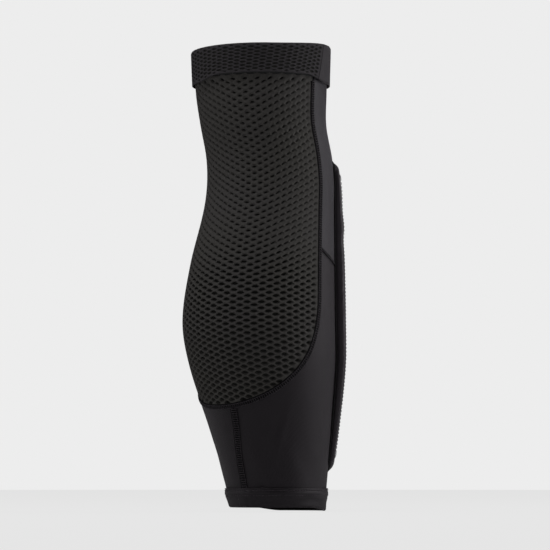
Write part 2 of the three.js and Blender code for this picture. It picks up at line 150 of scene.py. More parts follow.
# %% Meshes from points and faces
def new_piece(name, points, faces, uv=None):
    """A mesh object in the row frame from points in metres."""
    mesh = bpy.data.meshes.new(name)
    mesh.from_pydata(np.asarray(points).tolist(), [], faces)
    if uv is not None:
        layer = mesh.uv_layers.new(name="cloth")
        corner = np.zeros(len(mesh.loops), int)
        mesh.loops.foreach_get("vertex_index", corner)
        layer.data.foreach_set("uv", np.asarray(uv, np.float32)[corner].ravel())
    mesh.polygons.foreach_set("use_smooth", [True] * len(mesh.polygons))
    mesh.update()
    piece = bpy.data.objects.new(name, mesh)
    bpy.context.scene.collection.objects.link(piece)
    return piece


def face_outwards(piece):
    """Turns a closed mesh's faces outwards, once its doubles are merged."""
    cloth = bmesh.new()
    cloth.from_mesh(piece.data)
    bmesh.ops.remove_doubles(cloth, verts=cloth.verts, dist=1e-6)
    bmesh.ops.recalc_face_normals(cloth, faces=cloth.faces)
    if cloth.calc_volume(signed=True) < 0:
        bmesh.ops.reverse_faces(cloth, faces=cloth.faces)
    cloth.to_mesh(piece.data)
    cloth.free()
    return piece


def cloth_grid(name, front, back, uv, ring=False):
    """A closed sheet between two grids of points (rows, columns, 3). A ring joins its ends."""
    rows, columns = front.shape[:2]
    index = np.arange(rows * columns).reshape(rows, columns)
    behind = index + rows * columns
    turn = range(columns if ring else columns - 1)
    faces = []
    for j in range(rows - 1):
        for i in turn:
            n = (i + 1) % columns
            faces.append((index[j, i], index[j, n], index[j + 1, n], index[j + 1, i]))
            faces.append((behind[j, i], behind[j + 1, i], behind[j + 1, n], behind[j, n]))
    for i in turn:
        n = (i + 1) % columns
        for j, flip in ((0, False), (rows - 1, True)):
            side = (index[j, i], behind[j, i], behind[j, n], index[j, n])
            faces.append(side[::-1] if flip else side)
    if not ring:
        for j in range(rows - 1):
            for i, flip in ((0, True), (columns - 1, False)):
                side = (index[j, i], behind[j, i], behind[j + 1, i], index[j + 1, i])
                faces.append(side[::-1] if flip else side)
    points = np.concatenate([front.reshape(-1, 3), back.reshape(-1, 3)])
    both_uv = np.concatenate([uv.reshape(-1, 2)] * 2)
    return face_outwards(new_piece(name, points, faces, both_uv))


def apply_modifier(piece, kind, **settings):
    """Adds a modifier, sets it and applies it."""
    bpy.ops.object.select_all(action="DESELECT")
    piece.select_set(True)
    bpy.context.view_layer.objects.active = piece
    modifier = piece.modifiers.new(kind.title(), kind)
    for key, value in settings.items():
        setattr(modifier, key, value)
    bpy.ops.object.modifier_apply(modifier=modifier.name)
    piece.select_set(False)


# %% Blending a panel between its four edges
HEIGHT_WEIGHT = 0.35  # degrees of turn that count as much as a millimetre of height


def along_line(line):
    """A function that gives the place at a share of a line of (angle, height) points."""
    line = np.asarray(line, float)
    steps = np.hypot(np.diff(line[:, 0]), HEIGHT_WEIGHT * np.diff(line[:, 1]))
    reach = np.concatenate([[0], np.cumsum(steps)]) / steps.sum()
    return lambda share: np.stack([np.interp(share, reach, line[:, n]) for n in (0, 1)], axis=-1)


def blended(bottom, top, left, right, across, up):
    """A grid of (angle, height) that fills four edge lines."""
    low, high, near, far = (along_line(line) for line in (bottom, top, left, right))
    s = np.linspace(0, 1, across + 1)[None, :, None]
    t = np.linspace(0, 1, up + 1)[:, None, None]
    sides = (1 - s) * near(t[:, :, 0]) + s * far(t[:, :, 0])
    ends = (1 - t) * low(s[:, :, 0]) + t * high(s[:, :, 0])
    corner = lambda line, share: line(np.array([[share]]))
    lower = (1 - s) * corner(low, 0.0) + s * corner(low, 1.0)
    upper = (1 - s) * corner(high, 0.0) + s * corner(high, 1.0)
    return sides + ends - (1 - t) * lower - t * upper


def cloth_uv(places):
    """Millimetres round and up the leg, as metres, for a grid of (angle, height)."""
    _, depth, width = section_at(places[..., 1])
    around = np.radians(places[..., 0]) * (depth + width) / 2
    return np.stack([around, places[..., 1]], axis=-1) * MM


# %% [markdown]
# ## Knit looks
# Every fabric here is black or nearly so, and what tells them apart is the yarn: a matt open mesh,
# a smooth knit with a soft sheen at grazing angles, a tight pad skin, tape and thread. Two effects
# are shared, so they are node groups: the fine rib of a knit, which follows the cloth's own UV map,
# and the slight unevenness of dye and wear, which follows the object.

# %% Shared node groups
def new_group(name, inputs, outputs):
    """An empty shader node group with named sockets."""
    group = bpy.data.node_groups.new(name, "ShaderNodeTree")
    for direction, sockets in (("INPUT", inputs), ("OUTPUT", outputs)):
        for label, kind, value in sockets:
            socket = group.interface.new_socket(label, in_out=direction, socket_type=kind)
            if value is not None:
                socket.default_value = value
    start = group.nodes.new("NodeGroupInput")
    end = group.nodes.new("NodeGroupOutput")
    return group, start, end


def math_node(tree, operation, first, second):
    """A math node; each input is a socket or a number."""
    node = tree.nodes.new("ShaderNodeMath")
    node.operation = operation
    for socket, value in zip(node.inputs, (first, second)):
        if isinstance(value, bpy.types.NodeSocket):
            tree.links.new(value, socket)
        else:
            socket.default_value = value
    return node.outputs[0]


def set_inputs(node, values):
    """Sets a node's inputs by their names."""
    for label, value in values.items():
        node.inputs[label].default_value = value


def make_knit_rib():
    """Ribs up the cloth crossed by finer courses, in the cloth's UV map."""
    group, start, end = new_group(
        "knit_rib",
        [("Ribs", "NodeSocketFloat", 1000.0), ("Courses", "NodeSocketFloat", 1200.0)],
        [("Height", "NodeSocketFloat", None)],
    )
    cloth = group.nodes.new("ShaderNodeUVMap")
    cloth.uv_map = "cloth"
    split = group.nodes.new("ShaderNodeSeparateXYZ")
    group.links.new(cloth.outputs["UV"], split.inputs[0])
    turns = 2 * math.pi
    rib_phase = math_node(group, "MULTIPLY", split.outputs["X"], start.outputs["Ribs"])
    rib = math_node(group, "SINE", math_node(group, "MULTIPLY", rib_phase, turns), 0.0)
    row_phase = math_node(group, "MULTIPLY", split.outputs["Y"], start.outputs["Courses"])
    row = math_node(group, "SINE", math_node(group, "MULTIPLY", row_phase, turns), 0.0)
    both = math_node(group, "ADD", rib, math_node(group, "MULTIPLY", row, 0.5))
    scaled = math_node(group, "MULTIPLY", both, 0.33)
    group.links.new(math_node(group, "ADD", scaled, 0.5), end.inputs["Height"])
    return group


def make_uneven_dye():
    """A colour that drifts a little over the object."""
    group, start, end = new_group(
        "uneven_dye",
        [
            ("Colour", "NodeSocketColor", (0.02, 0.02, 0.02, 1)),
            ("Faded", "NodeSocketColor", (0.03, 0.03, 0.03, 1)),
            ("Size", "NodeSocketFloat", 40.0),
        ],
        [("Colour", "NodeSocketColor", None)],
    )
    place = group.nodes.new("ShaderNodeTexCoord")
    drift = group.nodes.new("ShaderNodeTexNoise")
    drift.inputs["Detail"].default_value = 4.0
    group.links.new(place.outputs["Object"], drift.inputs["Vector"])
    group.links.new(start.outputs["Size"], drift.inputs["Scale"])
    mixed = group.nodes.new("ShaderNodeMix")
    mixed.data_type = "RGBA"
    group.links.new(drift.outputs["Fac"], mixed.inputs["Factor"])
    group.links.new(start.outputs["Colour"], mixed.inputs["A"])
    group.links.new(start.outputs["Faded"], mixed.inputs["B"])
    group.links.new(mixed.outputs["Result"], end.inputs["Colour"])
    return group


KNIT_RIB = make_knit_rib()
UNEVEN_DYE = make_uneven_dye()


# %% Cloth and rubber materials
def soft_material(name, colour, faded, roughness, sheen=0.0, ribs=0, courses=0, depth=0.0, **more):
    """A fabric or rubber: dye that drifts, and ribs per metre pressed into it where it is knitted."""
    material = bpy.data.materials.new(name)
    material.use_nodes = True
    tree = material.node_tree
    shader = tree.nodes["Principled BSDF"]
    tint = (*more.get("tint", (1, 1, 1)), 1)
    set_inputs(shader, {
        "Roughness": roughness, "Specular IOR Level": more.get("specular", 0.5),
        "Sheen Weight": sheen, "Sheen Roughness": 0.4, "Sheen Tint": tint, "Specular Tint": tint,
    })
    dye = tree.nodes.new("ShaderNodeGroup")
    dye.node_tree = UNEVEN_DYE
    set_inputs(dye, {"Colour": (*colour, 1), "Faded": (*faded, 1), "Size": more.get("size", 40.0)})
    tree.links.new(dye.outputs["Colour"], shader.inputs["Base Color"])
    if depth:
        rib = tree.nodes.new("ShaderNodeGroup")
        rib.node_tree = KNIT_RIB
        set_inputs(rib, {"Ribs": ribs, "Courses": courses})
        bump = tree.nodes.new("ShaderNodeBump")
        set_inputs(bump, {"Distance": depth * MM, "Strength": 1.0})
        tree.links.new(rib.outputs["Height"], bump.inputs["Height"])
        tree.links.new(bump.outputs["Normal"], shader.inputs["Normal"])
    return material


MESH_YARN = soft_material(
    "mesh_yarn", (0.082, 0.079, 0.069), (0.086, 0.080, 0.083), 0.75, size=14.0, specular=0.2
)
CUFF_YARN = soft_material(
    "cuff_yarn", (0.056, 0.051, 0.056), (0.070, 0.064, 0.070), 0.75, size=120.0, specular=0.2
)
# The backing in the openings is darker than the yarn: painted shade in the openings.
MESH_BACKING_SHADE = soft_material(
    "mesh_backing_painted_shade", (0.036, 0.035, 0.033), (0.046, 0.045, 0.042), 0.9, specular=0.15
)
SMOOTH_KNIT = soft_material(
    "smooth_knit", (0.0055, 0.0040, 0.0058), (0.009, 0.0068, 0.0093), 0.55,
    sheen=0.17, ribs=900, courses=1300, depth=0.10, tint=(1.0, 0.92, 1.0),
)
# A brighter, shinier copy of the smooth knit: painted light on the upper panel, which tilts up
# towards the lamp above.
UPPER_KNIT_LIT = soft_material(
    "upper_knit_painted_light", (0.0175, 0.0155, 0.0190), (0.025, 0.022, 0.0270), 0.5,
    sheen=0.29, ribs=900, courses=1300, depth=0.10, tint=(1.0, 0.95, 1.03),
)
CUFF_KNIT = soft_material(
    "cuff_knit", (0.013, 0.011, 0.0135), (0.017, 0.015, 0.018), 0.6,
    sheen=0.2, ribs=900, courses=1300, depth=0.10, tint=(1.0, 0.93, 1.0),
)
PAD_SKIN = soft_material(
    "pad_skin", (0.017, 0.014, 0.0175), (0.027, 0.0225, 0.0275), 0.48,
    sheen=0.34, ribs=600, courses=600, depth=0.12, tint=(1.0, 0.92, 1.0),
)
# The darkest cloth colour: real tape on the seam bands, and painted shade in the dark strip beside
# seams and the pad's binding.
TAPE_AND_SHADE = soft_material(
    "binding_tape_and_painted_shade", (0.005, 0.0043, 0.0052), (0.008, 0.007, 0.0083), 0.8, specular=0.2
)
THREAD = soft_material(
    "sewing_thread", (0.024, 0.020, 0.0245), (0.032, 0.027, 0.0325), 0.55, sheen=0.3,
    size=200.0, tint=(1.0, 0.92, 1.0),
)
ELASTIC = soft_material("elastic_tape", (0.014, 0.014, 0.015), (0.02, 0.02, 0.021), 0.7)
LINING = soft_material("lining_cloth", (0.012, 0.012, 0.013), (0.016, 0.016, 0.018), 0.8, sheen=0.1)
FOAM = soft_material("closed_cell_foam", (0.045, 0.045, 0.05), (0.06, 0.06, 0.066), 0.9, size=900.0)
RUBBER = soft_material("silicone_rubber", (0.009, 0.009, 0.01), (0.012, 0.012, 0.013), 0.38)
print("materials:", len(bpy.data.materials))


def finish_piece(piece, material, slot, *nodes):
    """Gives a piece its material, hangs it on the root body and hides the CAD nodes it stands for."""
    piece.data.materials.append(material)
    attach(piece, "root")
    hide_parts(*nodes)
    print(f"{piece.name}: {len(piece.data.polygons)} faces")
    return piece


# %% [markdown]
# ## The open mesh
# The calf panel is a warp-knitted net: eye-shaped openings in columns, with every other column
# half a step higher. Painting the holes would be flat, and a lattice modifier would not follow
# the panel's curved edge, so each opening is a small tile: six corners that it shares with its
# neighbours, and a lens-shaped pit in the middle with a fine backing at its bottom, coloured
# darker than the yarn as painted shade in the opening. Tiles that the panel's edge would cut
# are pressed against it instead, so the net ends where its seam is.

# %% Clamping points to a panel's outline
def shrink_outline(outline, inset):
    """A convex anticlockwise outline moved inwards."""
    edges = np.roll(outline, -1, axis=0) - outline
    inward = np.stack([-edges[:, 1], edges[:, 0]], axis=1)
    inward /= np.linalg.norm(inward, axis=1, keepdims=True)
    before = np.roll(inward, 1, axis=0)
    lean = 1 + (before * inward).sum(axis=1, keepdims=True)
    return outline + inset * (before + inward) / lean


def clamp_to(outline, points):
    """Points outside a convex anticlockwise outline moved to the nearest place on it."""
    flat = points.reshape(-1, 2)
    edge = np.roll(outline, -1, axis=0) - outline
    away = flat[:, None] - outline[None]
    inside = (edge[None, :, 0] * away[..., 1] - edge[None, :, 1] * away[..., 0]).min(axis=1) >= 0
    share = np.clip((away * edge).sum(axis=2) / (edge**2).sum(axis=1), 0, 1)
    nearest = outline + share[..., None] * edge
    pick = np.linalg.norm(flat[:, None] - nearest, axis=2).argmin(axis=1)
    moved = nearest[np.arange(len(flat)), pick]
    return np.where(inside[:, None], flat, moved).reshape(points.shape)


# %% Knitting a net
TILE_POINTS = 12
TURNS = np.arange(TILE_POINTS) * 2 * math.pi / TILE_POINTS
LENS_POINT = 0.6  # over 0, an opening's tips are sharper than an ellipse's
LEAST_TILE = 0.04  # share of a whole tile under which a pressed one is left out
EDGE_MARGIN = 0.9  # how far the openings stay inside the outline
CUT_OPENING = 0.6  # size of an opening that the margin would cut


def loop_area(loops):
    """Area of each closed loop of points."""
    x, y = loops[..., 0], loops[..., 1]
    return 0.5 * (x * np.roll(y, -1, axis=1) - y * np.roll(x, -1, axis=1)).sum(axis=1)


def knit_net(name, outline, columns, rows, pitch, joint, hole, place, depths, lean):
    """A net of lens-shaped openings over a fine backing in darker painted shade, as one closed mesh.

    columns and rows are index ranges, pitch the step across and up, and joint half the length
    of the level thread between two openings. hole(across, up) gives an opening's half width, half
    height and slant, and place(across, up, depth) a point of the cloth. depths are those of its
    rounded edge, of the backing in it and of the cloth's back, and lean how far an opening rises
    as it goes in.
    """
    round_off, floor_depth, thick = depths
    across_step, up_step = pitch
    column, row = [grid.ravel() for grid in np.meshgrid(columns, rows, indexing="ij")]
    middle = np.stack([column * across_step, (row + 0.5 * (column % 2)) * up_step], axis=1)
    tip, high = across_step - joint, up_step / 2
    corners = np.array(
        [[tip, 0], [joint, high], [-joint, high], [-tip, 0], [-joint, -high], [joint, -high]]
    )
    halves = (corners + np.roll(corners, -1, axis=0)) / 2
    tile = np.stack([corners, halves], axis=1).reshape(-1, 2)
    tiles = clamp_to(outline, middle[:, None] + tile)
    kept = loop_area(tiles) > LEAST_TILE * across_step * up_step
    middle, tiles = middle[kept], tiles[kept]

    half_width, half_height, slant = hole(middle[:, 0], middle[:, 1])
    bulge = np.sin(TURNS) * np.abs(np.sin(TURNS)) ** LENS_POINT
    lens = np.stack([np.cos(TURNS), bulge], axis=1)
    holes = lens * np.stack([half_width, half_height], axis=1)[:, None]
    holes[..., 1] += slant[:, None] * holes[..., 0]
    inner_outline = shrink_outline(outline, EDGE_MARGIN)
    clamped = clamp_to(inner_outline, middle[:, None] + holes)
    is_cut = loop_area(clamped) < 0.99 * loop_area(holes)
    holes = np.where(is_cut[:, None, None], CUT_OPENING * holes, holes)
    holes += np.where(is_cut[:, None], clamped.mean(axis=1), middle)[:, None]
    stray = np.abs(clamp_to(inner_outline, holes) - holes).max(axis=(1, 2))
    open_cell = (stray < 0.05) & (loop_area(holes) > 1.0)

    keys = np.floor(tiles * 1000 + 0.237).astype(np.int64)  # no corner falls on a rounding step
    packed = (keys[..., 0] + 10**7) * 10**8 + keys[..., 1] + 10**7
    _, first, shared = np.unique(packed.ravel(), return_index=True, return_inverse=True)
    shared = shared.reshape(packed.shape)
    corner_places = tiles.reshape(-1, 2)[first]
    count = len(corner_places)
    hole_places = holes[open_cell].reshape(-1, 2)
    centre_places = np.where(open_cell[:, None], holes.mean(axis=1), tiles.mean(axis=1))
    floors = np.where(open_cell, floor_depth, 0.0)
    layers = [
        (corner_places, 0.0),
        (corner_places, thick),
        (hole_places, round_off),
        (hole_places + [0, lean], floor_depth),
        (centre_places + [0, lean], floors),
        (centre_places, thick),
    ]
    points = np.concatenate([place(p[:, 0], p[:, 1], depth) for p, depth in layers])
    cut = 2 * count + np.arange(len(hole_places)).reshape(-1, TILE_POINTS)
    cut_floor = cut + len(hole_places)
    centre = 2 * count + 2 * len(hole_places) + np.arange(len(centre_places))

    turned = lambda loop: np.roll(loop, -1, axis=1)
    rings = [(shared[open_cell], cut), (cut, cut_floor)]
    quads = np.concatenate(
        [np.stack([a, turned(a), turned(b), b], axis=2).reshape(-1, 4) for a, b in rings]
    )
    in_front = shared.copy()
    in_front[open_cell] = cut_floor
    fans = []
    for loop, middles in ((in_front, centre), (turned(shared) + count, centre + len(centre))):
        middles = np.repeat(middles[:, None], TILE_POINTS, axis=1)
        fans.append(np.stack([loop, turned(loop), middles], axis=2).reshape(-1, 3))
    in_opening = np.repeat(open_cell, TILE_POINTS)
    edge = np.stack([shared, turned(shared)], axis=2).reshape(-1, 2)
    ordered = np.sort(edge, axis=1)
    _, where, uses = np.unique(ordered, axis=0, return_inverse=True, return_counts=True)
    rim = edge[(uses[where.ravel()] == 1) & (edge[:, 0] != edge[:, 1])]
    walls = np.stack([rim[:, 0], rim[:, 0] + count, rim[:, 1] + count, rim[:, 1]], axis=1)
    threes = np.concatenate([fans[0][~in_opening], fans[1]])
    yarn = np.concatenate([quads, walls]).tolist() + threes.tolist()
    yarn = [tuple(dict.fromkeys(f)) for f in yarn]
    yarn = [f for f in yarn if len(f) > 2]
    # The backing's faces take the second material, darker than the yarn: painted shade.
    backing = [tuple(f) for f in fans[0][in_opening].tolist()]
    net = new_piece(name, points, yarn + backing)
    net.data.polygons.foreach_set("material_index", [0] * len(yarn) + [1] * len(backing))
    print(f"{name}: {int(open_cell.sum())} openings")
    return face_outwards(net)


# %% [markdown]
# ## The calf panel
# The panel's lower end is a rounded arch and its sides run straight up into the cuff. Openings are
# widest over the calf's belly and close to flat slits higher up, where the sleeve is narrower and
# the net isn't stretched. The net's outer face lies where the CAD panel's does, but the net is
# thicker than that panel, so that its openings are deep enough to look dark.

# %% Seam lines as lists of angle and height
CALF_HALF_ANGLE = 98.0
CALF_BOTTOM, CALF_ARCH = 80.0, 88.0
CALF_ROUNDNESS = 2.1
BACK_SEAM_TOP, BACK_SEAM_FOOT, BACK_SEAM_BEND = 16.0, 10.3, (25.0, 80.0)
SIDE_SEAM_TOP, FRONT_SEAM_LOW = 207.0, 181.0
RIM_RISE, RIM_RISE_SPAN = 4.0, (55.0, 130.0)
CUFF_BOTTOM, PANEL_TOP = 342.0, 345.0
HEM_TOP, PANEL_BOTTOM = 15.5, 12.5
SEAM_INSET = 1.0
FABRIC, GAP, WALL = 1.2, 0.3, 1.0


def soft_step(start, end, value):
    """The share of a span that a value has passed, with a soft start and end."""
    share = np.clip((value - start) / (end - start), 0, 1)
    return share * share * (3 - 2 * share)


def calf_arch(sweep, inset=0.0):
    """The mesh panel's rounded end, from the rear centre (0) to a side seam (90 degrees)."""
    turn = np.radians(np.asarray(sweep, float))
    power = 2 / CALF_ROUNDNESS
    side = np.sign(turn) * np.abs(np.sin(turn)) ** power
    drop = np.maximum(np.cos(turn), 0) ** power
    height = CALF_BOTTOM + CALF_ARCH - (CALF_ARCH - inset) * drop
    return np.stack([(CALF_HALF_ANGLE - inset) * side, height], axis=-1)


def back_seam(height):
    """Angle of the lower panel's closing seam, which bends towards the rear at its foot."""
    bend = BACK_SEAM_TOP - BACK_SEAM_FOOT
    return BACK_SEAM_FOOT + bend * soft_step(*BACK_SEAM_BEND, height)


def front_seam(angle):
    share = np.abs(angle - 180) / (180 - CALF_HALF_ANGLE)
    return FRONT_SEAM_LOW + (SIDE_SEAM_TOP - FRONT_SEAM_LOW) * share**1.5


# %% The mesh panel
MESH_STEP, MESH_JOINT = (5.35, 5.0), 1.3
MESH_DEPTHS, MESH_LEAN = (0.6, 2.4, 2.7), 1.3
BELLY, BELLY_STEP, STEP_GROWTH = 151.0, 4.86, 0.0034  # rows stand closer where the net is wide
SLANT_TURN = 28.0  # above the belly the openings slant up, away from this angle


def height_of_row(up):
    """Height for a row's place in an even net."""
    stretch = np.exp((up - BELLY) * STEP_GROWTH / MESH_STEP[1])
    return BELLY + BELLY_STEP * (stretch - 1) / STEP_GROWTH


def row_of_height(height):
    """A row's place in an even net, for a height."""
    share = 1 + (height - BELLY) * STEP_GROWTH / BELLY_STEP
    return BELLY + np.log(share) * MESH_STEP[1] / STEP_GROWTH


def calf_opening(across, up):
    """Half width and height of an opening: slits above and at the sides, lenses over the belly."""
    loose = soft_step(225, 172, up)
    tight = 0.15 * soft_step(62, 96, np.abs(across))
    width = (2.15 + 0.7 * loose) * (1 - tight)
    height = (1.0 + 0.7 * loose) * (1 - tight)
    slant = 0.5 * np.clip((across - SLANT_TURN) / 26, -1, 1) * soft_step(165, 215, up)
    return width, height, slant


def on_panel(across, up, depth):
    return on_sleeve(across, height_of_row(up), -depth)


NET_INSET = 0.5
lower_edge = calf_arch(np.linspace(-90, 90, 73), NET_INSET)
half_angle = CALF_HALF_ANGLE - NET_INSET
calf_outline = np.vstack([lower_edge, [[half_angle, PANEL_TOP], [-half_angle, PANEL_TOP]]])
calf_outline[:, 1] = row_of_height(calf_outline[:, 1])
calf_net = knit_net(
    "calf_mesh_net", calf_outline, np.arange(-19, 20), np.arange(14, 72), MESH_STEP, MESH_JOINT,
    calf_opening, on_panel, MESH_DEPTHS, MESH_LEAN,
)
finish_piece(calf_net, MESH_YARN, "mesh_knit", "calf_mesh_panel")
calf_net.data.materials.append(MESH_BACKING_SHADE)

# %% [markdown]
# ## The smooth panels
# Two stretch panels close the sleeve: one over the top of the shin, one round the ankle with a
# seam at the back. Each fills the lines of its seams. The upper one is taut and smooth, and the
# lower one has slight creases and slack, which are modelled as small waves in its height.

# %% Waves in the cloth
def bump_at(value, centre, width):
    return np.exp(-(((value - centre) / width) ** 2))


def panel_waves(angle, height):
    """How far out the lower panel stands, in millimetres: creases, slack and one slanting fold."""
    crease = 0.7 * bump_at(height, 34, 16) * np.sin(np.radians(angle * 9.0) + height / 11)
    crease *= bump_at(angle, 45, 34) + 0.6 * bump_at(angle, 300, 40)
    slack = 0.35 * np.sin(np.radians(angle * 3.0) + height / 24) * bump_at(height, 75, 45)
    slope_at = 50 + (height - 40) * 0.4
    fold = 0.55 * bump_at(angle, slope_at, 3.5) - 0.3 * bump_at(angle, slope_at - 7, 4)
    return crease + slack + fold * bump_at(height, 56, 20)


def flat_cloth(angle, height):
    return 0.0 * angle


def smooth_panel(name, bottom, top, left, right, across, up, waves):
    """A panel that fills its four seam lines and stands out from the leg by its waves."""
    places = blended(bottom, top, left, right, across, up)
    out = waves(places[..., 0], places[..., 1])
    front = on_sleeve(places[..., 0], places[..., 1], out)
    back = on_sleeve(places[..., 0], places[..., 1], out - FABRIC)
    return cloth_grid(name, front, back, cloth_uv(places))


# %% The front upper panel
near = CALF_HALF_ANGLE + 0.5
far = 360 - near
angles = np.linspace(near, far, 41)
upper_bottom = np.stack([angles, front_seam(angles) + SEAM_INSET], axis=1)
upper_top = [[near, PANEL_TOP], [far, PANEL_TOP]]
upper_left = [[near, upper_bottom[0, 1]], [near, PANEL_TOP]]
upper_right = [[far, upper_bottom[0, 1]], [far, PANEL_TOP]]
front_upper = smooth_panel(
    "front_upper_knit", upper_bottom, upper_top, upper_left, upper_right, 80, 70, flat_cloth
)
# The upper panel takes the brighter copy of the smooth knit: painted light.
finish_piece(front_upper, UPPER_KNIT_LIT, "smooth_knit", "front_upper_panel")

# %% The lower panel
ARCH_START = 12  # where the arch meets the back seam, as the sweep of calf_arch
seam_height = float(calf_arch(ARCH_START, -SEAM_INSET)[1])
up_seam = np.linspace(PANEL_BOTTOM, seam_height, 12)
lower_left = np.stack([back_seam(up_seam) + 0.5, up_seam], axis=1)
lower_right = np.stack([back_seam(up_seam) + 359.5, up_seam], axis=1)
near_arch = calf_arch(np.linspace(ARCH_START, 90, 32), -SEAM_INSET)
near_arch[0] = lower_left[-1]
far_arch = calf_arch(np.linspace(-90, 6.5, 40), -SEAM_INSET) + [360, 0]
angles = np.linspace(CALF_HALF_ANGLE + 1, 359 - CALF_HALF_ANGLE, 41)
middle_front = np.stack([angles, front_seam(angles) - SEAM_INSET], axis=1)
lower_top = np.vstack([near_arch, middle_front, far_arch, lower_right[-1:]])
lower_bottom = [lower_left[0], lower_right[0]]
lower_knit = smooth_panel(
    "lower_knit", lower_bottom, lower_top, lower_left, lower_right, 240, 70, panel_waves
)
finish_piece(lower_knit, SMOOTH_KNIT, "smooth_knit", "lower_panel")

# %% [markdown]
# ## Folded cuffs and the hem
# Both ends are finished by a strip folded over an elastic tape. The fold is a half circle between
# two walls, so one function can place any point of the strip from its distance along the fold.
# The top cuff is mesh behind and smooth cloth in front, and it stands proud of the panels.

# %% Places on a folded strip
TOP_OUT, TOP_IN = 2.6, -2.2
EDGE_RIDE = 4.3  # how far the cuff's lower edge has ridden up over the calf
EDGE_FLARE = 0.8  # how far that edge stands off where it starts to rise
HEM_OUT, HEM_IN = 1.3, -2.5
HEM_SAG = 3.0  # how much lower the hem's edge hangs at the shin
HEM_SAG_SPAN = (92, 132)  # degrees from the rear centre over which it drops
HEM_DRAW = 0.8  # how far the edge draws in
LUMP, LUMP_ANGLE = 0.7, 31  # a small lump on the hem's top edge
TOP_FOLD = (TOP_OUT - TOP_IN) / 2
HEM_FOLD = (HEM_OUT - HEM_IN) / 2


def on_top_cuff(angle, along, depth):
    """A point of the top cuff: along runs up the outside, over the rim and down the inside."""
    wall_length = HEIGHT - TOP_FOLD - CUFF_BOTTOM
    over = np.clip((along - wall_length) / (math.pi * TOP_FOLD), 0, 1) * math.pi
    bend = TOP_FOLD - depth
    out = (TOP_OUT + TOP_IN) / 2 + bend * np.cos(over)
    past = np.maximum(along - wall_length - math.pi * TOP_FOLD, 0)
    height = np.minimum(CUFF_BOTTOM + along, HEIGHT - TOP_FOLD) + bend * np.sin(over) - past
    low = np.clip(1 - along / wall_length, 0, 1)
    ridden_up = soft_step(-16, 12, angle) * soft_step(112, 88, angle)
    height = height + EDGE_RIDE * ridden_up * low
    out = out + EDGE_FLARE * bump_at(angle, -2, 16) * low**3
    from_rear = np.minimum(np.abs(angle), np.abs(360 - angle))
    height = height + RIM_RISE * soft_step(*RIM_RISE_SPAN, from_rear) * (1 - low)
    return on_sleeve(angle, height, out)


def on_hem(angle, along, depth):
    """A point of the hem: along runs down the outside, under the edge and up the inside."""
    wall_length = HEM_TOP - HEM_FOLD
    under = np.clip((along - wall_length) / (math.pi * HEM_FOLD), 0, 1) * math.pi
    bend = HEM_FOLD - depth
    out = (HEM_OUT + HEM_IN) / 2 + bend * np.cos(under)
    past = np.maximum(along - wall_length - math.pi * HEM_FOLD, 0)
    height = np.maximum(HEM_TOP - along, HEM_FOLD) - bend * np.sin(under) + past
    outer = 1 - under / math.pi
    lump = LUMP * bump_at(angle, LUMP_ANGLE, 5) * bump_at(along, 0.5, 2.5)
    ripple = 0.35 * np.sin(np.radians(angle * 7)) * bump_at(along, 8, 4)
    swell = 0.9 * bump_at(along, 5.0, 3.2) + ripple
    groove = 0.5 * bump_at(along, 1.3, 0.8) + 0.4 * bump_at(along, 5.6, 0.7)
    seam_dent = 0.25 * bump_at(angle, 13, 1.4)
    out = out + (swell + lump - groove - seam_dent) * outer
    inner_low = 0.9 * (1 - outer) * np.clip(1 - past / 8, 0, 1)
    low = np.clip(along / wall_length, 0, 1) * outer + inner_low
    from_rear = 180 - np.abs(angle - 180)
    sag = HEM_SAG * soft_step(*HEM_SAG_SPAN, from_rear) * low
    height = height + lump * outer - sag
    return on_sleeve(angle, height, out - HEM_DRAW * low * outer)


# %% The mesh part of the top cuff
CUFF_INNER_END = 345.5
TOP_WALL, TOP_INNER_WALL = HEIGHT - TOP_FOLD - CUFF_BOTTOM, HEIGHT - TOP_FOLD - CUFF_INNER_END
TOP_STRIP = TOP_WALL + math.pi * TOP_FOLD + TOP_INNER_WALL
CUFF_JOIN, CUFF_LEAN = 102.0, 8.0
CUFF_STEP, CUFF_JOINT = (5.12, 3.23), 1.1
CUFF_DEPTHS, CUFF_LIFT = (0.2, 0.8, WALL), 0.3


def cuff_edge(along):
    """Angle of the join between the cuff's two cloths, which leans towards the front."""
    rise = np.minimum(along, TOP_STRIP - along) / (HEIGHT - CUFF_BOTTOM)
    return CUFF_JOIN + CUFF_LEAN * np.clip(rise, 0, 1)


def cuff_opening(across, along):
    """Small level openings in the cuff's walls and none in its fold."""
    from_fold = np.abs(along - TOP_WALL - math.pi * TOP_FOLD / 2)
    size = np.clip((from_fold - 2.6) / 1.6, 0, 1)
    return 2.5 * size, 1.15 * size, 0 * size


def on_mesh_cuff(across, along, depth):
    return on_top_cuff(across * cuff_edge(along) / CUFF_JOIN, along, depth)


half = CUFF_JOIN - 0.2
cuff_outline = np.array([[-half, 0], [half, 0], [half, TOP_STRIP], [-half, TOP_STRIP]])
cuff_net = knit_net(
    "top_cuff_mesh", cuff_outline, np.arange(-21, 22), np.arange(-1, 20), CUFF_STEP, CUFF_JOINT,
    cuff_opening, on_mesh_cuff, CUFF_DEPTHS, CUFF_LIFT,
)
finish_piece(cuff_net, CUFF_YARN, "mesh_knit", "top_cuff_mesh_band")
cuff_net.data.materials.append(MESH_BACKING_SHADE)


# %% The smooth part of the top cuff, and the hem
def folded_strip(name, place, start, end, length, across, along, ring=False):
    """A smooth strip folded over: start and end are its edges' angles along the strip."""
    down = np.linspace(0, length, along + 1)[:, None]
    share = np.linspace(0, 1, across + 1)[None, :]
    if ring:
        share = share[:, :-1]
    angle = start(down) + (end(down) - start(down)) * share
    down = down + 0 * share
    uv = cloth_uv(np.stack([angle, down], axis=-1))
    return cloth_grid(name, place(angle, down, 0.0), place(angle, down, WALL), uv, ring)


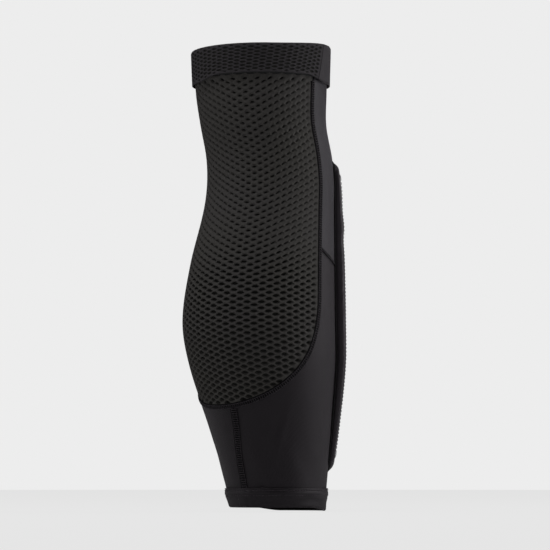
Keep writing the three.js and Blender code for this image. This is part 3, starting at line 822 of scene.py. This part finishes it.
cuff_front = folded_strip(
    "top_cuff_front", on_top_cuff, lambda a: cuff_edge(a) + 0.2, lambda a: 359.8 - cuff_edge(a),
    TOP_STRIP, 90, 36,
)
finish_piece(cuff_front, CUFF_KNIT, "smooth_knit", "top_cuff_front_band")

HEM_STRIP = (HEM_TOP - HEM_FOLD) + math.pi * HEM_FOLD + (PANEL_BOTTOM - HEM_FOLD - GAP)
hem = folded_strip(
    "bottom_hem", on_hem, lambda a: 0 * a, lambda a: 0 * a + 360, HEM_STRIP, 200, 26, ring=True
)
finish_piece(hem, SMOOTH_KNIT, "smooth_knit", "bottom_hem_band")

# %% [markdown]
# ## Flat seams
# Panels of stretch cloth are joined edge to edge with a flatlock stitch: a narrow band of looping
# thread that lies flat on the cloth. A texture could suggest it, but its edge shows on a
# silhouette, so one stitch is modelled as a short bent rod, and copies of it are laid along the
# seam: threads straight across a dark band and a row of short ones down each side of it.

# %% One stitch, modelled once
STITCH_STEPS = [(0.16, 1.0), (0.34, 0.35), (0.34, -0.35), (0.16, -1.0)]


def model_stitch(length, radius, rise):
    """Points and faces of a six-sided rod along X that dips into the cloth at both ends."""
    bpy.ops.object.select_all(action="DESELECT")
    bpy.ops.mesh.primitive_circle_add(
        vertices=6, radius=radius, fill_type="NGON", location=(-length / 2, 0, 0),
        rotation=(0, math.pi / 2, 0),
    )
    bpy.ops.object.transform_apply(location=True, rotation=True, scale=True)
    bpy.ops.object.mode_set(mode="EDIT")
    bpy.ops.mesh.select_all(action="SELECT")
    for run, lift in STITCH_STEPS:
        step = (run * length, 0, lift * rise)
        bpy.ops.mesh.extrude_region_move(TRANSFORM_OT_translate={"value": step})
    bpy.ops.mesh.select_all(action="SELECT")
    bpy.ops.mesh.normals_make_consistent(inside=False)
    bpy.ops.object.mode_set(mode="OBJECT")
    rod = bpy.context.object
    points = np.array([v.co for v in rod.data.vertices])
    faces = [tuple(p.vertices) for p in rod.data.polygons]
    bpy.data.objects.remove(rod)
    return points, faces


# %% A line laid on the sleeve
def seam_frames(line, step, ring=False):
    """Evenly spaced places along a line of (angle, height), with the seam's three directions."""
    line = np.asarray(line, float)
    if ring:
        line = np.vstack([line, line[:1] + [360 * round((line[-1, 0] - line[0, 0]) / 360), 0]])
    path = on_sleeve(line[:, 0], line[:, 1])
    reach = np.concatenate([[0], np.cumsum(np.linalg.norm(np.diff(path, axis=0), axis=1))])
    count = max(int(round(reach[-1] / (step * MM))), 2)
    at = np.linspace(0, reach[-1], count + 1)
    if ring:
        at = at[:-1]
    angle = np.interp(at, reach, line[:, 0])
    height = np.interp(at, reach, line[:, 1])
    spots = on_sleeve(angle, height)
    if ring:
        forward = np.roll(spots, -1, axis=0) - np.roll(spots, 1, axis=0)
    else:
        forward = np.gradient(spots, axis=0)
    forward /= np.linalg.norm(forward, axis=1, keepdims=True)
    normal = face_normal(angle, height)
    sideways = np.cross(normal, forward)
    sideways /= np.linalg.norm(sideways, axis=1, keepdims=True)
    return spots, forward, sideways, normal, height


def swept_band(frames, corners, ring=False):
    """Points and faces of a band with an outline of (side, up) corners in millimetres."""
    spots, _, sideways, normal, height = frames
    shape = np.asarray(corners(height) if callable(corners) else corners, float)
    shape = np.broadcast_to(shape, (len(spots), *shape.shape[-2:])) * MM
    points = spots[:, None] + shape[..., :1] * sideways[:, None] + shape[..., 1:] * normal[:, None]
    count, sides = points.shape[:2]
    index = np.arange(count * sides).reshape(count, sides)
    ahead = np.roll(index, -1, axis=0) if ring else index[1:]
    here = index if ring else index[:-1]
    quads = np.stack(
        [here, np.roll(here, -1, axis=1), np.roll(ahead, -1, axis=1), ahead], axis=2
    ).reshape(-1, 4)
    faces = [tuple(q) for q in quads.tolist()]
    if not ring:
        faces += [tuple(index[0].tolist()[::-1]), tuple(index[-1].tolist())]
    return points.reshape(-1, 3), faces


def laid_stitches(frames, stitch, side, up, turn):
    """Copies of a stitch at every place of a seam, turned by an angle about the normal."""
    spots, forward, sideways, normal, height = frames
    shape, faces = stitch
    lift = up(height) if callable(up) else np.full(len(spots), float(up))
    along = math.cos(turn) * forward + math.sin(turn) * sideways
    across = np.cross(normal, along)
    base = spots + side * MM * sideways + lift[:, None] * MM * normal
    points = base[:, None] + MM * (
        shape[None, :, :1] * along[:, None]
        + shape[None, :, 1:2] * across[:, None]
        + shape[None, :, 2:] * normal[:, None]
    )
    size = len(shape)
    copies = [
        tuple(v + n * size for v in face) for n in range(len(spots)) for face in faces
    ]
    return points.reshape(-1, 3), copies


def joined(name, parts, second=()):
    """One mesh from several lists of points and faces; those in second take its second material."""
    points, faces, first, slots = [], [], 0, []
    for slot, (some_points, some_faces) in [(0, p) for p in parts] + [(1, p) for p in second]:
        points.append(some_points)
        faces += [tuple(v + first for v in face) for face in some_faces]
        slots += [slot] * len(some_faces)
        first += len(some_points)
    piece = new_piece(name, np.concatenate(points), faces)
    piece.data.polygons.foreach_set("material_index", slots)
    cloth = bmesh.new()
    cloth.from_mesh(piece.data)
    bmesh.ops.recalc_face_normals(cloth, faces=cloth.faces)
    cloth.to_mesh(piece.data)
    cloth.free()
    return piece


# %% Sewing the flat seams
SEAM_WIDTH, SEAM_STEP = 4.2, 1.9
THIN_SEAM = SEAM_WIDTH - 2.4
EDGE_STITCH = model_stitch(1.7, 0.22, 0.26)
SQUARE = math.radians(90)


def band_outline(half, low, high):
    """A flat band's rounded outline, half as wide as given, between two heights."""
    mid, soft = (low + high) / 2, 0.35
    return [
        (-half, mid), (-half + soft, low), (half - soft, low), (half, mid),
        (half - soft, high), (0, high + 0.08), (-half + soft, high),
    ]


def shadow_strip_outline(side, half, high):
    """The outline of a thin dark strip that lies beside a band, painted shadow along its edge."""
    return [(side - half, -0.1), (side + half, -0.1), (side + half, high / 2), (side, high),
            (side - half, high / 2)]


def flat_seam(name, node, line, width=SEAM_WIDTH, shadow_side=None, ring=False, base=0.1, inwards=False):
    """A flatlock seam along a line of (angle, height), standing for a CAD stitching node.

    The dark strip's side, if given, is where a thin dark line is laid beside the band as painted
    shadow of its edge.
    """
    half = width / 2
    frames = seam_frames(line, SEAM_STEP, ring)
    if inwards:
        spots, forward, sideways, normal, height = frames
        frames = (spots, forward, -sideways, -normal, height)
    across_stitch = model_stitch(width - 0.3, 0.3, 0.34)
    threads = [
        laid_stitches(frames, across_stitch, 0.0, base + 0.26, SQUARE),
        laid_stitches(frames, EDGE_STITCH, half - 0.4, base + 0.24, 0.0),
        laid_stitches(frames, EDGE_STITCH, 0.4 - half, base + 0.24, 0.0),
    ]
    edges = [swept_band(frames, band_outline(half, base - 0.1, base + 0.16), ring)]
    # A thin dark strip on one side: painted shadow along the band's edge.
    if shadow_side:
        edges.append(swept_band(frames, shadow_strip_outline(shadow_side * (half + 0.45), 0.42, 0.35), ring))
    piece = finish_piece(joined(name, threads, edges), THREAD, "thread", node)
    piece.data.materials.append(TAPE_AND_SHADE)
    print(f"{name}: {len(frames[0])} stitches long")
    return piece


LEFT_EDGE, RIGHT_EDGE = 1, -1  # the sides of a seam, from outside and along its line
straight = np.linspace(CUFF_BOTTOM - 0.5, CALF_BOTTOM + CALF_ARCH + 4, 40)
near_side = np.stack([np.full_like(straight, CALF_HALF_ANGLE), straight], axis=1)
far_side = near_side[::-1] * [-1, 1]
calf_line = np.vstack([near_side, calf_arch(np.linspace(90, -90, 121)), far_side])
flat_seam("calf_flat_seam", "calf_seam_stitching", calf_line, SEAM_WIDTH - 0.6, RIGHT_EDGE)

up_back = np.linspace(HEM_TOP + GAP, CALF_BOTTOM + 1 - SEAM_WIDTH / 2 - GAP, 30)
back_line = np.stack([back_seam(up_back), up_back], axis=1)
flat_seam("back_flat_seam", "back_seam_stitching", back_line, SEAM_WIDTH + 1.2, LEFT_EDGE)

PAD_HALF_ANGLE = 54.0
front_angles = np.linspace(CALF_HALF_ANGLE + 2.7, 180 - PAD_HALF_ANGLE - 4.2, 12)
front_line = np.stack([front_angles, front_seam(front_angles)], axis=1)
flat_seam(
    "front_flat_seam_right", "front_seam_stitching_right", front_line, THIN_SEAM, LEFT_EDGE
)
left_line = np.stack([360 - front_angles, front_seam(front_angles)], axis=1)
flat_seam(
    "front_flat_seam_left", "front_seam_stitching_left", left_line, THIN_SEAM, RIGHT_EDGE
)

# %% [markdown]
# ## Hem and cuff stitching
# The hem is held by two rows of straight stitches and the cuff is joined inside by a flat seam.

# %% Rings of stitches
def ring_line(height):
    around = np.arange(0, 360, 3.0)
    return np.stack([around, np.full_like(around, height)], axis=1)


def stitch_rows(name, node, line, sides, up, spacing, stitch):
    """Rows of straight stitches beside a closed line."""
    frames = seam_frames(line, spacing, ring=True)
    parts = [laid_stitches(frames, stitch, side, up, 0.0) for side in sides]
    return finish_piece(joined(name, parts), THREAD, "thread", node)


ROW_STITCH = model_stitch(2.3, 0.24, 0.34)
stitch_rows(
    "hem_stitches", "hem_stitching", ring_line(HEM_TOP - 3.4), (-2.1, 2.1), HEM_OUT - 0.12, 2.6,
    ROW_STITCH,
)
flat_seam(
    "cuff_flat_seam", "top_cuff_stitching", ring_line(CUFF_BOTTOM + 1),
    ring=True, base=FABRIC + 0.1, inwards=True,
)

# %% [markdown]
# ## The shin pad
# Five moulded foam blocks lie in a stretched skin with a groove between each two, so that the pad
# bends. The skin could be inflated by a simulation, but foam is moulded rather than stuffed, so its
# relief is drawn as a height over the pad's outline: rounded shoulders, crowned blocks, grooves.

# %% The pad's form
PAD_CENTRE, PAD_HALF_HEIGHT, PAD_CORNER = 156.0, 129.0, 0.16
PAD_THICK, PAD_THIN, PAD_SEGMENTS = 7.4, 4.4, 5
PAD_HALF_WIDTH = 57.0  # round the leg
GROOVE, COLUMN_GROOVE, RIDGE = 1.7, 1.2, 0.5
COLUMN_AT = 0.46  # how far from the middle a groove runs up the pad, as a share of half its width
BACKING_TOP = GAP + 0.6
INNER_SIZE, FOAM_SIZE = 0.965, 0.955
PAD_SHOULDER = 3.6
SKIN_WALL = 1.0


def on_pad(s, t, size=1.0):
    """Angle and height of a place on the pad, s and t running from 0 to 1 across and up it."""
    across, up = 2 * s - 1, 2 * t - 1
    angle = 180 + size * PAD_HALF_ANGLE * across * np.sqrt(1 - PAD_CORNER * up**2)
    height = PAD_CENTRE + size * PAD_HALF_HEIGHT * up * np.sqrt(1 - PAD_CORNER * across**2)
    return angle, height


def shoulder(distance):
    """A rounded rise from an edge, over the width of the pad's shoulder."""
    flat = np.clip(distance / PAD_SHOULDER, 0, 1)
    return (1 - (1 - flat) ** 2.4) ** (1 / 2.4)


def pad_height(s, t):
    """How far the skin stands out at a place on the pad."""
    across, up = 2 * s - 1, 2 * t - 1
    thick = PAD_THICK - (PAD_THICK - PAD_THIN) * np.abs(up) ** 2
    from_side = (1 - np.abs(across)) * PAD_HALF_WIDTH
    rise = shoulder(from_side) * shoulder((1 - np.abs(up)) * PAD_HALF_HEIGHT)
    arch = 0.018 * (1 - across**2)
    place = (t + arch) * PAD_SEGMENTS
    nearest = np.clip(np.round(place), 1, PAD_SEGMENTS - 1)
    block = 2 * PAD_HALF_HEIGHT / PAD_SEGMENTS
    middle = np.clip((0.86 - np.abs(across)) / 0.2, 0, 1)
    groove = GROOVE * bump_at((place - nearest) * block, 0, 2.4)
    off_column = (np.abs(across) - COLUMN_AT) * PAD_HALF_WIDTH
    columns = COLUMN_GROOVE * bump_at(off_column, 0, 2.2)
    columns = columns * np.clip((0.9 - np.abs(up)) / 0.1, 0, 1)
    ridge = RIDGE * bump_at(across, 0, 0.24)
    height = PAD_CENTRE + PAD_HALF_HEIGHT * up
    crease = 0.8 * bump_at(height, 233, 8) - 0.5 * bump_at(height, 219, 7)
    ridge = ridge + crease * bump_at(np.abs(across), 0.88, 0.12)
    return GAP + (thick - GAP) * rise - (groove * middle + columns - ridge) * rise


# %% The skin over the foam
def eased(steps):
    """Shares from 0 to 1, closer together at both ends."""
    share = np.linspace(0, 1, steps + 1)
    return 0.6 * share + 0.4 * (0.5 - 0.5 * np.cos(math.pi * share))


def pad_layer(s, t, size, out):
    angle, height = on_pad(s, t, size)
    return on_sleeve(angle, height, out)


s, t = np.meshgrid(eased(90), eased(190))
skin = pad_height(s, t)
under = np.maximum(skin - SKIN_WALL, GAP)
angle, height = on_pad(s, t)
pad_cover = cloth_grid(
    "pad_skin_cover", pad_layer(s, t, 1.0, skin), pad_layer(s, t, INNER_SIZE, under),
    cloth_uv(np.stack([angle, height], axis=-1)),
)
finish_piece(pad_cover, PAD_SKIN, "pad_skin", "pad_cover")

# %% Foam blocks and the cloth behind them
FOAM_GAP = 0.2
FOAM_SPLIT = 0.004  # half the gap between two blocks, as a share of the pad's height
FOAM_FLOOR = BACKING_TOP + GAP + FOAM_GAP
for n in range(PAD_SEGMENTS):
    low = n / PAD_SEGMENTS + (FOAM_SPLIT if n else 0.0)
    high = (n + 1) / PAD_SEGMENTS - (FOAM_SPLIT if n < PAD_SEGMENTS - 1 else 0.0)
    s, t = np.meshgrid(np.linspace(0, 1, 41), np.linspace(low, high, 25))
    round_end = shoulder(np.minimum(t - low, high - t) * 2 * PAD_HALF_HEIGHT * 3)
    top = np.maximum(pad_height(s, t) - SKIN_WALL - FOAM_GAP, FOAM_FLOOR)
    top = FOAM_FLOOR + (top - FOAM_FLOOR) * (0.5 + 0.5 * round_end)
    bottom = np.full_like(top, BACKING_TOP + 0.15)
    places = np.stack(on_pad(s, t), axis=-1)
    block = cloth_grid(
        f"foam_block_{n + 1}", pad_layer(s, t, FOAM_SIZE - 0.01, top),
        pad_layer(s, t, FOAM_SIZE - 0.01, bottom), cloth_uv(places),
    )
    finish_piece(block, FOAM, "foam", f"pad_foam_block_{n + 1}")

s, t = np.meshgrid(np.linspace(0, 1, 41), np.linspace(0, 1, 81))
places = np.stack(on_pad(s, t, FOAM_SIZE), axis=-1)
backing = cloth_grid(
    "pad_lining", pad_layer(s, t, FOAM_SIZE, BACKING_TOP), pad_layer(s, t, FOAM_SIZE, GAP),
    cloth_uv(places),
)
finish_piece(backing, LINING, "lining", "pad_backing")

# %% The bound edge and the line of stitches inside it
edge_share = np.linspace(0, 1, 61)[:-1]
square = np.concatenate([
    np.stack([edge_share, 0 * edge_share], axis=1),
    np.stack([0 * edge_share + 1, edge_share], axis=1),
    np.stack([1 - edge_share, 0 * edge_share + 1], axis=1),
    np.stack([0 * edge_share, 1 - edge_share], axis=1),
])


def pad_ring(size):
    return np.stack(on_pad(square[:, 0], square[:, 1], size), axis=1)


BINDING_OUTLINE = [
    (-0.2, 0.2), (-0.2, 1.0), (-0.6, 1.35), (-1.2, 1.35), (-1.8, 1.0), (-2.0, 0.2),
]
# The binding's darkest tape colour is partly painted shade of the gap along the pad's edge.
frames = seam_frames(pad_ring(1.0), 2.5, ring=True)
binding = joined("pad_binding", [swept_band(frames, BINDING_OUTLINE, ring=True)])
finish_piece(binding, TAPE_AND_SHADE, "binding", "pad_edge_binding")


def skin_lift(size):
    """Height of the skin under a line of stitches round the pad, for each height."""
    places = pad_ring(size)
    lifts = pad_height(
        0.5 + (square[:, 0] - 0.5) * size, 0.5 + (square[:, 1] - 0.5) * size
    )
    order = np.argsort(places[:, 1])
    return lambda height: np.interp(height, places[order, 1], lifts[order]) + 0.05


STITCH_SIZE = 0.93
edge_stitches = stitch_rows(
    "pad_edge_stitches", "pad_edge_stitching", pad_ring(STITCH_SIZE), (0.0,),
    skin_lift(STITCH_SIZE), 3.0, model_stitch(2.4, 0.26, 0.45),
)

# %% [markdown]
# ## Rings inside the ends
# A woven elastic tape lies in each fold and a silicone strip behind it keeps the sleeve from
# slipping. Each is a plain hoop first, with its rows added by extruding, a wall from Solidify, and
# then every point is laid against the leg form, which a Shrinkwrap would do less exactly.

# %% Hoops laid against the leg
HOOP_POINTS = 180


def leg_hoop(name, inner, outer, bottom, top, rows, relief):
    """A hoop between two distances from the sleeve, with a relief on its inner face."""
    bpy.ops.object.select_all(action="DESELECT")
    bpy.ops.mesh.primitive_circle_add(vertices=HOOP_POINTS, radius=1.0, fill_type="NOTHING")
    hoop = bpy.context.object
    hoop.name = name
    bpy.ops.object.mode_set(mode="EDIT")
    bpy.ops.mesh.select_all(action="SELECT")
    for _ in range(rows):
        step = (0, 0, 1 / rows)
        bpy.ops.mesh.extrude_edges_move(TRANSFORM_OT_translate={"value": step})
    bpy.ops.mesh.select_all(action="SELECT")
    bpy.ops.mesh.normals_make_consistent(inside=False)
    bpy.ops.object.mode_set(mode="OBJECT")
    apply_modifier(hoop, "SOLIDIFY", thickness=0.1, offset=-1.0)
    points = np.array([v.co for v in hoop.data.vertices])
    turn = np.degrees(np.arctan2(-points[:, 0], points[:, 1])) % 360
    is_inner = np.hypot(points[:, 0], points[:, 1]) < 0.97
    height = bottom + points[:, 2] * (top - bottom)
    out = np.where(is_inner, inner + relief(turn, points[:, 2]), outer)
    places = on_sleeve(turn, height, out)
    hoop.data.vertices.foreach_set("co", places.astype(np.float32).ravel())
    hoop.data.polygons.foreach_set("use_smooth", [True] * len(hoop.data.polygons))
    hoop.data.update()
    return face_outwards(hoop)


def woven(turn, share):
    return 0.15 * np.sin(share * math.pi * 8)


def grip_waves(turn, share):
    wave = 0.5 + 0.16 * np.sin(np.radians(turn * 18))
    return 0.55 - 0.55 * bump_at(np.abs(share - wave), 0.22, 0.13)


fold_in = -FABRIC + GAP
tape_top = leg_hoop("top_elastic", fold_in, fold_in + 0.9, 345.6, 367.6, 10, woven)
finish_piece(tape_top, ELASTIC, "elastic", "top_elastic_tape")
tape_low = leg_hoop("bottom_elastic", -FABRIC + 0.1, -0.2, 2.4, 11.8, 8, woven)
finish_piece(tape_low, ELASTIC, "elastic", "bottom_elastic_tape")
grip_top = leg_hoop("top_gripper", -3.3, -2.2, 351.0, 363.0, 24, grip_waves)
finish_piece(grip_top, RUBBER, "silicone", "top_silicone_gripper")
grip_low = leg_hoop("bottom_gripper", -3.5, -2.5, 3.0, 10.5, 16, grip_waves)
finish_piece(grip_low, RUBBER, "silicone", "bottom_silicone_gripper")

# %% [markdown]
# ## Floor, lights and camera
# A pale floor and plain soft light. Black cloth shows its shape only by what grazes it, so two
# large panels of light stand at the sides and a little behind, and a third hangs above.

# %% Floor
PALE = 0.847
FLOOR = (0, 0, -(HEM_SAG + 0.6) * MM)


def pale_floor():
    """A pale plate whose camera colour is mostly flat, close to the colour of the world."""
    bpy.ops.object.select_all(action="DESELECT")
    bpy.ops.mesh.primitive_circle_add(vertices=96, radius=4.0, fill_type="NGON", location=FLOOR)
    floor = bpy.context.object
    floor.name = "floor"
    material = bpy.data.materials.new("pale_floor")
    material.use_nodes = True
    tree = material.node_tree
    diffuse = tree.nodes["Principled BSDF"]
    set_inputs(diffuse, {"Base Color": (0.8, 0.8, 0.8, 1), "Roughness": 0.9})
    glow = tree.nodes.new("ShaderNodeEmission")
    set_inputs(glow, {"Color": (PALE, PALE, PALE, 1)})
    seen = tree.nodes.new("ShaderNodeLightPath")
    share = math_node(tree, "MULTIPLY", seen.outputs["Is Camera Ray"], 0.9)
    mix = tree.nodes.new("ShaderNodeMixShader")
    tree.links.new(share, mix.inputs["Fac"])
    tree.links.new(diffuse.outputs["BSDF"], mix.inputs[1])
    tree.links.new(glow.outputs["Emission"], mix.inputs[2])
    tree.links.new(mix.outputs["Shader"], tree.nodes["Material Output"].inputs["Surface"])
    floor.data.materials.append(material)
    floor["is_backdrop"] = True


pale_floor()

# %% World
world = bpy.data.worlds.new("studio")
bpy.context.scene.world = world
world.use_nodes = True
sky = world.node_tree
dim = sky.nodes["Background"]
set_inputs(dim, {"Color": (1, 1, 1, 1), "Strength": 0.026})
shown = sky.nodes.new("ShaderNodeBackground")
set_inputs(shown, {"Color": (PALE, PALE, PALE, 1)})
seen = sky.nodes.new("ShaderNodeLightPath")
mix = sky.nodes.new("ShaderNodeMixShader")
sky.links.new(seen.outputs["Is Camera Ray"], mix.inputs["Fac"])
sky.links.new(dim.outputs["Background"], mix.inputs[1])
sky.links.new(shown.outputs["Background"], mix.inputs[2])
sky.links.new(mix.outputs["Shader"], sky.nodes["World Output"].inputs["Surface"])
bpy.context.scene.view_settings.view_transform = "Standard"

# %% Lights
VIEW_ANGLE = math.radians(132)  # the camera's direction round the leg, from -Y towards -X
MIDDLE = Vector((0, 0, HEIGHT / 2 * MM))


def softbox(name, turn, distance, height, size, power):
    """A panel of light turned from the camera's direction by turn degrees, to its left."""
    angle = VIEW_ANGLE + math.radians(turn)
    place = Vector((-math.sin(angle), -math.cos(angle), 0)) * distance + Vector((0, 0, height))
    light = bpy.data.lights.new(name, "AREA")
    light.shape = "RECTANGLE"
    light.size, light.size_y = size
    light.energy = power
    lamp = bpy.data.objects.new(name, light)
    lamp.location = place
    lamp.rotation_euler = (place - MIDDLE).to_track_quat("Z", "Y").to_euler()
    lamp.visible_camera = False
    bpy.context.scene.collection.objects.link(lamp)
    return lamp


softbox("right_softbox", -94, 1.5, 0.35, (1.0, 1.8), 11)
softbox("left_softbox", 94, 1.5, 0.35, (1.0, 1.8), 5.2)
softbox("top_softbox", 10, 0.9, 2.0, (1.0, 1.0), 11)

# %% Camera
LENS, DISTANCE, EYE_HEIGHT = 194.0, 2.4, 0.025
camera_data = bpy.data.cameras.new("camera")
camera_data.lens = LENS
camera_data.sensor_width = 36.0
camera_data.shift_x, camera_data.shift_y = 0.019, 0.007
camera = bpy.data.objects.new("camera", camera_data)
away = Vector((-math.sin(VIEW_ANGLE), -math.cos(VIEW_ANGLE), 0)) * DISTANCE
camera.location = away + Vector((0, 0, EYE_HEIGHT))
camera.rotation_euler = (camera.location - MIDDLE).to_track_quat("Z", "Y").to_euler()
bpy.context.scene.collection.objects.link(camera)
bpy.context.scene.camera = camera

# %% [markdown]
# ## Size
# Both boxes, the CAD one and the visual one, are gathered side by side. The visual model may
# stand only a little proud of the CAD box.

# %% Gather the sizes and finish
boxes = {"cad": CAD_BOX, "visual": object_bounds()}
{name: [list(corner) for corner in box] for name, box in boxes.items()}
